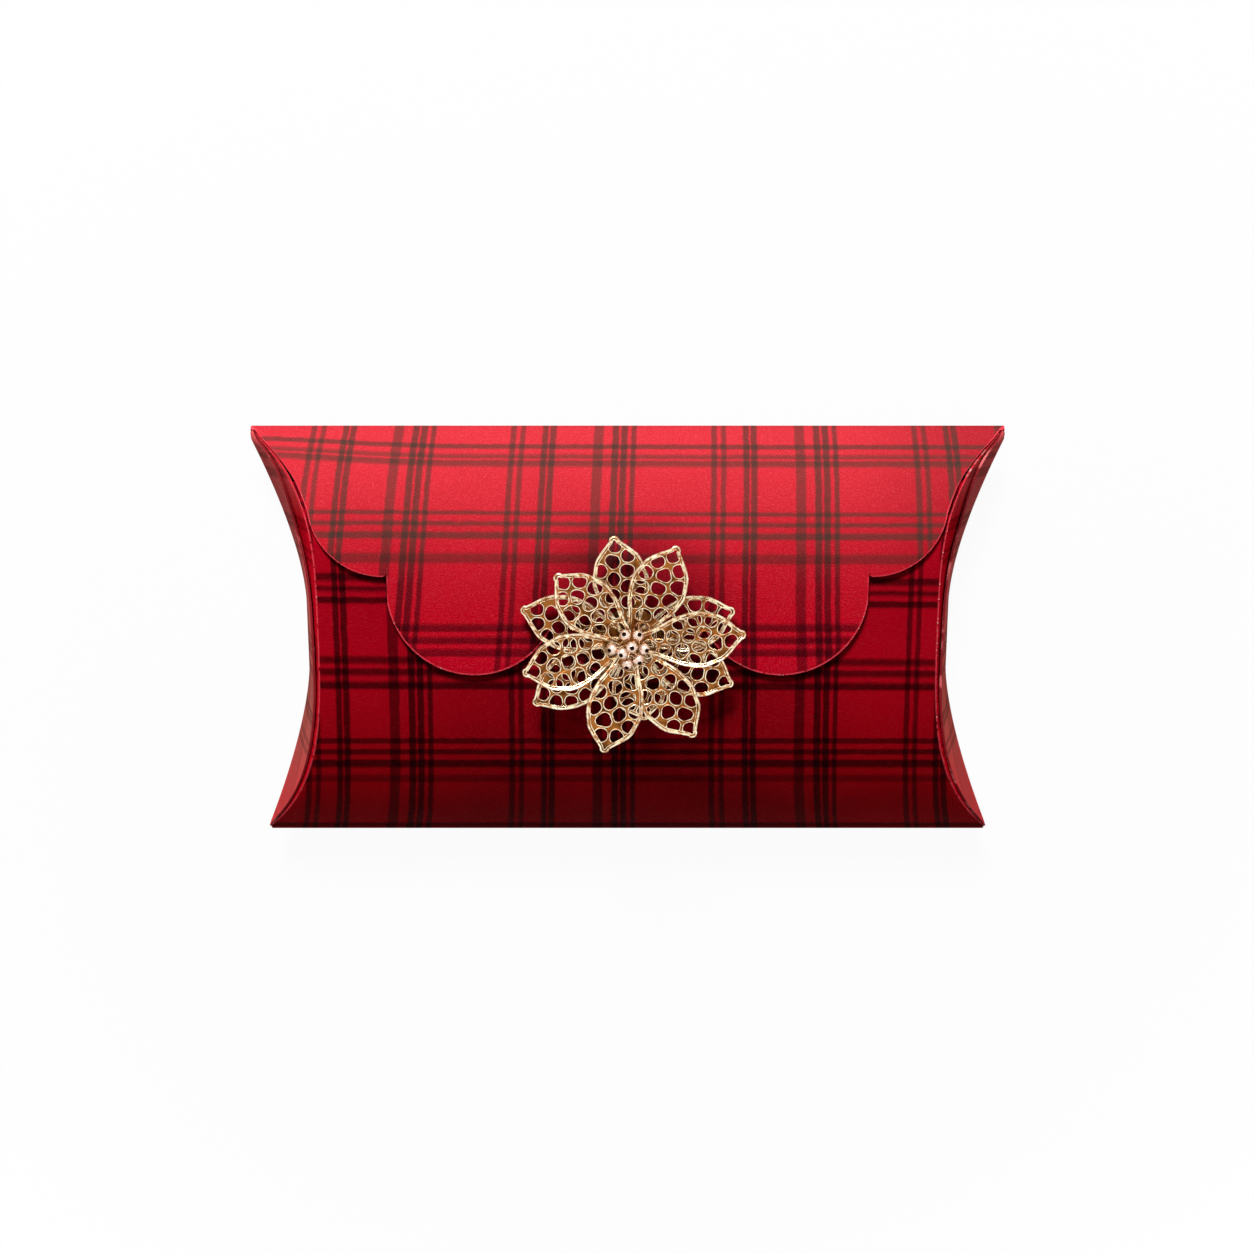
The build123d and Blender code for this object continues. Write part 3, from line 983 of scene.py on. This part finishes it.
for side, name in ((-1, "left"), (1, "right")):
    outer = bent_board(
        f"{name}_outer_end_flap_board", 80, 14, outer_flap_place(side),
        [outer_end_prints[side], board_inside, end_edge], end_blank(side, bare_share),
    )

    def on_crease(face):
        back = crease_points(face.center.y, side)[1]
        return face.material_index == CUT and (Vector((face.center.x, face.center.z)) - back).length < 0.8

    repaint(outer, PRINTED, on_crease)
    finish_piece(outer, f"{name}_outer_end_flap", None)
    hinge = side * end_hinge_x * MM
    toward = end_bend_run * MM
    hinge - side * toward
    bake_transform(outer)
    inner = bent_board(
        f"{name}_inner_end_flap_board", 48, 10, inner_flap_place(side),
        [inner_end_print, board_inside, board_edge], end_blank(side),
    )
    finish_piece(inner, f"{name}_inner_end_flap", "box")


# ---- Flower ----
def outline_half_width(share):
    """Half the width of a petal at a share of its length."""
    near = np.clip(np.array([share - 0.04, share, share + 0.04]), 0, 1)
    smooth = np.interp(near, *zip(*petal_outline_shares))
    return petal_width / 2 * float(smooth @ [0.25, 0.5, 0.25] if share < 0.97 else smooth[1])


def petal_edge(length):
    """Points round a petal's edge, from the hub along one side to the tip and back."""
    steps = 24
    tip_reach = petal_tip_radius * 0.8
    first = hub_radius * 0.75 / length
    last = 1 - tip_reach / length
    side = []
    for i in range(steps + 1):
        share = first + (last - first) * i / steps
        side.append((share * length, outline_half_width(share)))
    reach = side[-1][1]
    side += [(last * length + tip_reach * math.sin(a), reach * math.cos(a)) for a in (0.4, 0.8, 1.2)]
    return np.array(side + [(length, 0.0)] + [(x, -w) for x, w in reversed(side)])


def nearest_on_edge(spots, edge):
    """The nearest point of an edge to each spot, and how far it is."""
    start, run = edge[:-1], np.diff(edge, axis=0)
    away = spots[:, None, :] - start[None]
    share = np.clip((away * run).sum(-1) / (run**2).sum(-1), 0, 1)
    foot = start[None] + share[..., None] * run[None]
    gap = np.linalg.norm(spots[:, None, :] - foot, axis=-1)
    best = gap.argmin(1)
    rows = np.arange(len(spots))
    return foot[rows, best], gap[rows, best]


def shifted_edge(edge, inset):
    """A petal's edge moved inwards, without the places where it would cross itself."""
    run = np.roll(edge, -1, axis=0) - np.roll(edge, 1, axis=0)
    run /= np.linalg.norm(run, axis=1)[:, None]
    moved = edge + np.column_stack([run[:, 1], -run[:, 0]]) * inset
    gap = nearest_on_edge(moved, edge)[1]
    return moved[gap > abs(inset) * 0.93]


def petal_spots(length, rand):
    """Middles of the cells that fill a petal, packed until they touch each other and the rim."""
    edge = petal_edge(length)
    pitch = ring_radius * 1.88
    shift = rand.choice([0.0, 0.5]) * pitch * row_share
    start = length - 1.9 - rand.uniform(0.0, 1.2)
    spots = []
    for row in range(-2, 3):
        for i in range(9):
            x = start - pitch * (i + (0.5 if row % 2 else 0.0))
            y = row * pitch * row_share + shift
            if x < hub_radius + 1.6 or outline_half_width(x / length) - abs(y) < 0.95:
                continue
            spots.append((x + rand.uniform(-0.3, 0.3), y + rand.uniform(-0.3, 0.3)))
    spots = np.array(spots)
    for _ in range(packing_rounds):
        apart = spots[:, None] - spots[None]
        gap = np.linalg.norm(apart, axis=-1) + np.eye(len(spots)) * 99
        push = np.clip(2 * ring_radius - gap, 0, None) / gap
        spots = spots + (apart * push[..., None]).sum(1) * 0.22
        foot, room = nearest_on_edge(spots, edge)
        lean = np.clip(ring_radius * 0.86 - room, 0, None) / np.maximum(room, 0.2)
        spots = spots + (spots - foot) * lean[:, None] * 0.4
        spots[:, 0] = np.maximum(spots[:, 0], hub_radius + 1.9)
    return spots, edge


def petal_cells(length, rand):
    """The rounded cells that fill a petal, as (middle, reach of the cell all round it)."""
    spots, edge = petal_spots(length, rand)
    turns = np.linspace(0, 2 * math.pi, cell_sides, endpoint=False)
    rays = np.column_stack([np.cos(turns), np.sin(turns)])
    run = np.diff(edge, axis=0)
    cells = []
    for i, spot in enumerate(spots):
        reach = np.full(cell_sides, ring_radius * 1.35)
        for away in np.delete(spots, i, axis=0) - spot:
            gap = math.hypot(*away)
            facing = rays @ away / gap
            halfway = gap / 2 / np.maximum(facing, 0.05)
            reach = np.minimum(reach, np.where(facing > 0.05, halfway, far_inside))
        start = edge[:-1] - spot
        turning = rays[:, :1] * run[None, :, 1] - rays[:, 1:] * run[None, :, 0]
        turning = np.where(np.abs(turning) < 1e-6, 1e-6, turning)
        far = (start[:, 0] * run[:, 1] - start[:, 1] * run[:, 0])[None] / turning
        along = (start[None, :, 0] * rays[:, 1:] - start[None, :, 1] * rays[:, :1]) / turning
        hit = (far > 0) & (along >= 0) & (along <= 1)
        reach = np.minimum(reach, np.where(hit, far, far_inside).min(1) - 0.12)
        reach = np.minimum(reach, reach.min() * 1.4)
        for _ in range(4):
            reach = np.minimum(reach, (np.roll(reach, 1) + reach + np.roll(reach, -1)) / 3)
        if reach.min() > smallest_cell:
            cells.append((spot, rays, reach))
    return cells


def mesh_of_lines(name, lines, **settings):
    """A mesh from closed lines of points, made through a curve with these settings."""
    bpy.ops.curve.primitive_bezier_circle_add(radius=1.0)
    piece = bpy.context.active_object
    curve = piece.data
    curve.splines.clear()
    for points in lines:
        spline = curve.splines.new("POLY")
        spline.points.add(len(points) - 1)
        for at, point in zip(spline.points, points):
            at.co = (*point, 1.0)
        spline.use_cyclic_u = True
    for setting, value in settings.items():
        setattr(curve, setting, value)
    bpy.ops.object.convert(target="MESH")
    piece.name = name
    return piece


def wire_along(name, lines, radius):
    """A round wire along each of some lines of points, as one mesh."""
    return mesh_of_lines(
        name, lines, dimensions="3D", bevel_depth=radius, bevel_resolution=1, resolution_u=1
    )


def web_plate(name, edge, cells):
    """The thin plate of a petal, pierced inside each cell."""
    loops = [edge] + [spot + rays * (reach - web_in)[:, None] for spot, rays, reach in cells]
    flat = [[(x, y, 0.0) for x, y in points] for points in loops]
    return mesh_of_lines(name, flat, dimensions="2D", fill_mode="BOTH", extrude=web_half)


def make_petal(node, length, base_z, bend, angle, seed):
    """One cast petal: a pierced plate, a wire round each hole and a double rim, bent like a spoon."""
    name = f"{node}_filigree"
    rand = random.Random(seed)
    cells = petal_cells(length, rand)
    edge = petal_edge(length)
    plate = web_plate(name, edge, cells)
    plate.data.materials.append(gilt_web_painted_shade)
    nubs = [noise.noise(Vector((x * 1.9, y * 1.9, seed))) * 0.16 for x, y in edge]
    rough = [(x, y + (nub if y >= 0 else -nub), 0.1) for (x, y), nub in zip(edge, nubs)]
    inner_line = [(x, y, 0.22) for x, y in shifted_edge(edge, inner_rim_in) if x > hub_radius]
    wires = []
    for spot, rays, reach in cells:
        wander = np.array([noise.noise(Vector((*(spot + ray * 2), seed))) for ray in rays]) * 0.12
        high = 0.1 + rand.uniform(-0.04, 0.08)
        wires.append([(x, y, high) for x, y in spot + rays * (reach - cell_wire_in + wander)[:, None]])
    trim = [
        wire_along(f"{name}_rim", [rough], rim_wire),
        wire_along(f"{name}_inner_rim", [inner_line], inner_rim_wire),
        wire_along(f"{name}_wires", wires, cell_wire),
    ]
    reshape(trim[-1], lambda co: Vector((co.x, co.y, co.z * cell_wire_stretch)))
    for part in trim:
        part.data.materials.clear()
        part.data.materials.append(gilt_rim)
    select_only(plate, *trim)
    bpy.ops.object.join()
    bpy.ops.object.transform_apply(location=True, rotation=True, scale=True)

    rise, tip_rise, cup = bend
    turn = math.radians(angle)

    def place(co):
        share = co.x / length
        spine = rise * 4 * share * (1 - share) + tip_rise * share * (2 * share - 1)
        spoon = cup * ((co.y / (petal_width / 2)) ** 2 - 0.3) * min(1.0, share * 2)
        z = base_z + petal_thickness / 2 + spine + spoon + co.z
        x = flower_x + co.x * math.cos(turn) - co.y * math.sin(turn)
        y = flower_y + co.x * math.sin(turn) + co.y * math.cos(turn)
        return Vector((x, y, z))

    reshape(plate, place)
    return finish_piece(plate, node, "closure", smooth_angle=60.0)


# Each ring of petals: the start of its node names, its length, level and first low petal, how it bends,
# and its petals' angles, shares of the length and first seed
rings = (
    ("lower_petal", lower_petal_length, lower_ring_z, 0, lower_petal_bend, lower_petal_angles,
     lower_length_shares, 10),
    ("upper_petal", upper_petal_length, upper_ring_z, 1, upper_petal_bend, upper_petal_angles,
     upper_length_shares, 30),
)
for ring, length, level, low_one, bend, angles, shares, seed in rings:
    for i, (angle, share) in enumerate(zip(angles, shares)):
        base_z = level + petal_step * ((i + low_one) % 2)
        make_petal(f"{ring}_{i + 1}", length * share, base_z, bend, angle, seed + i)


def make_beads():
    """The beads of the stamens, each with the small bore that its wire comes through."""
    parts = []
    root = Vector((flower_x, flower_y, hub_top_z - 4.0))
    for across, up, high in stamen_shares:
        centre = Vector((
            flower_x + across * bead_diameter,
            flower_y + up * bead_diameter,
            hub_top_z + high * bead_diameter,
        ))
        bpy.ops.mesh.primitive_uv_sphere_add(segments=24, ring_count=16, radius=bead_diameter / 2)
        bead = name_piece("bead", pearl, bore_painted_shade)
        for vertex in bead.data.vertices:
            if vertex.co.z > 0 and vertex.co.xy.length < bead_bore_radius:
                vertex.co.z -= bead_bore_depth
        # The bore's faces take the painted shade.
        repaint(bead, 1, lambda face: face.center.z > 0.4 and face.center.xy.length < bead_bore_radius)
        turn = (centre - root).to_track_quat("Z", "Y").to_matrix().to_4x4()
        bead.data.transform(Matrix.Translation(centre) @ turn)
        parts.append(bead)
    select_only(*parts)
    bpy.ops.object.join()
    parts[0].name = "stamen_bead_cluster"
    return finish_piece(parts[0], "stamen_beads", "closure", smooth_angle=50.0)


make_beads()

plain_parts = {"flower_base_disc": gilt_base_painted_shade, "flower_hub": gilt_base_painted_shade, "stamen_stems": gilt_rim}
for node, finish in plain_parts.items():
    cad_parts[node].material_slots[0].material = finish


# ---- Hook and loop dots, and the foam pad under the flower ----
def soft_finish(name, light, dark, roughness, scale, depth):
    """A finish with fine speckle and grain, for plastic, fabric and foam."""
    made = Finish(name)
    place = made.node("ShaderNodeTexCoord", {}, {}, output=3)
    coarse = made.speckle(place, scale, detail=3.0)
    fine = made.speckle(place, scale * 4, detail=2.0)
    return made.surface(
        Base_Color=made.blend(light, dark, made.ramp(coarse, 0.4, 0.7)),
        Roughness=roughness + fine * 0.12,
        Normal=made.bump(coarse + fine * 0.5, depth),
    )


hook_plastic = soft_finish("hook_plastic", tint(150, 36, 48), tint(128, 24, 34), 0.4, 500.0, 0.00002)
loop_fabric = soft_finish("loop_fabric", tint(168, 40, 52), tint(136, 26, 38), 0.8, 1400.0, 0.00008)
# The foam is a dark grey brown: painted shade where it shows through the petals.
glue_foam = soft_finish("glue_foam", tint(112, 98, 86), tint(88, 76, 66), 0.75, 1900.0, 0.00012)


def fastener_dot(name, node, body, finish, low_z, up):
    """A round backing film, covered with small loops that stand up or small hooks that hang down."""
    bpy.ops.mesh.primitive_cylinder_add(
        vertices=64, radius=dot_radius, depth=dot_film, location=(0, 0, dot_film / 2)
    )
    parts = [name_piece(name, finish)]
    rand = random.Random(7 if up else 8)
    for row in range(-8, 9):
        for column in range(-8, 9):
            x, y = (column + 0.5 * (row % 2)) * nub_pitch, row * nub_pitch * row_share
            if math.hypot(x, y) > dot_radius - 0.35:
                continue
            x, y = x + rand.uniform(-0.06, 0.06), y + rand.uniform(-0.06, 0.06)
            if up:
                bpy.ops.mesh.primitive_torus_add(
                    major_segments=8, minor_segments=3, major_radius=dot_height - dot_film - 0.05,
                    minor_radius=0.05, location=(x, y, dot_film),
                    rotation=(math.pi / 2, 0, rand.uniform(0, math.pi)),
                )
            else:
                bpy.ops.mesh.primitive_cone_add(
                    vertices=6, radius1=0.08, radius2=0.15, depth=dot_height - dot_film,
                    location=(x, y, (dot_height + dot_film) / 2),
                )
            parts.append(name_piece("nub", finish))
    select_only(*parts)
    bpy.ops.object.join()
    bpy.ops.object.transform_apply(location=True, rotation=True, scale=True)

    def place(co):
        high = max(0.0, co.z)
        if not up:
            return Vector((co.x, front_crown_y - co.y, low_z + dot_height - high))
        return Vector((co.x, front_crown_y + co.y, low_z + high))

    reshape(parts[0], place)
    return finish_piece(parts[0], node, body, smooth_angle=50.0)


fastener_dot("loop_dot", "panel_loop_dot", "box", loop_fabric, front_z, True)
fastener_dot(
    "hook_dot", "flap_hook_dot", "closure", hook_plastic,
    front_z + lobe_lift - dot_height, False,
)

bpy.ops.mesh.primitive_cylinder_add(
    vertices=72, radius=foam_pad_radius, depth=foam_pad_depth, location=(0, 0, 0)
)
glue_pad = name_piece("foam_glue_pad", glue_foam)
apply_modifier(
    glue_pad, "BEVEL", width=foam_pad_round, segments=5, limit_method="ANGLE", angle_limit=math.radians(40)
)


def squeezed(co):
    """The foam bulges unevenly where the flower is pressed onto it."""
    swell = 1 + 0.012 * noise.noise(Vector((co.x * 0.4, co.y * 0.4, 5.0))) - 0.01 * abs(co.z)
    return Vector((flower_x + co.x * swell, flower_y + co.y * swell, pad_z + foam_pad_depth / 2 + co.z))


reshape(glue_pad, squeezed)
finish_piece(glue_pad, "flower_glue_pad", "closure", smooth_angle=50.0)


# ---- Stage, lights and camera ----
def seen_rays(finish):
    """1 for the rays that the camera sees, also by way of metal, and 0 for those that light the box."""
    rays = finish.node("ShaderNodeLightPath")
    return finish.sum("MAXIMUM", rays, rays.other(3))


bpy.ops.mesh.primitive_plane_add(size=8.0, location=(0, 0, -0.0004))
floor = bpy.context.active_object
floor.name = "floor"
pale = Finish("pale_floor")
matt = pale.node("ShaderNodeBsdfDiffuse", {}, {"Color": (0.86, 0.86, 0.86, 1.0)})
glow = pale.node("ShaderNodeEmission", {}, {"Color": (1.0, 1.0, 1.0, 1.0), "Strength": 1.0})
floor_place = pale.node("ShaderNodeTexCoord", {}, {}, output=3)
from_box = pale.node("ShaderNodeVectorMath", {"operation": "LENGTH"}, {0: floor_place}, output=1)
# The floor glows white but for a share that keeps the box's shadow, and wholly far from the box
white_share = 0.95 + pale.ramp(from_box, 0.13, 0.3) * 0.05
both = pale.node("ShaderNodeMixShader", {}, {0: seen_rays(pale) * white_share, 1: matt, 2: glow})
pale.node("ShaderNodeOutputMaterial", {}, {"Surface": both})
floor.data.materials.append(pale.owner)

studio = Finish("soft_studio", bpy.data.worlds.new("soft_studio"))
bpy.context.scene.world = studio.owner
dim = studio.node("ShaderNodeBackground", {}, {"Color": (1.0, 1.0, 1.0, 1.0), "Strength": 0.105})
white = studio.node("ShaderNodeBackground", {}, {"Color": (1.0, 1.0, 1.0, 1.0), "Strength": 1.0})
mixed = studio.node("ShaderNodeMixShader", {}, {0: seen_rays(studio), 1: dim, 2: white})
studio.node("ShaderNodeOutputWorld", {}, {"Surface": mixed})


def soft_light(name, place, size, power):
    """A square studio light that points at the middle of the box."""
    bpy.ops.object.light_add(type="AREA", location=place)
    light = bpy.context.active_object
    light.name = name
    light.data.shape = "SQUARE"
    light.data.size = size
    light.data.energy = power
    toward = Vector((0, 0, 0.02)) - Vector(place)
    light.rotation_euler = toward.to_track_quat("-Z", "Y").to_euler()


soft_light("key_light", place=(-0.14, 0.9, 0.74), size=0.26, power=14.9)
soft_light("fill_light", place=(0.4, -0.25, 0.95), size=0.8, power=0.55)

camera_pitch = math.radians(11.0)
camera_distance = 395.6
camera_aim = Vector((-0.15, 1.35, 10.9))
camera_data = bpy.data.cameras.new("photo_camera")
camera_data.sensor_width = 36.0
camera_data.lens = 41.91
camera_data.clip_start = 0.01
camera = bpy.data.objects.new("photo_camera", camera_data)
bpy.context.scene.collection.objects.link(camera)
away = Vector((0.0, math.sin(camera_pitch), math.cos(camera_pitch)))
camera.location = (camera_aim + away * camera_distance) * MM
camera.rotation_euler = (-camera_pitch, 0.0, 0.0)
bpy.context.scene.camera = camera
bpy.context.scene.view_settings.view_transform = "Standard"
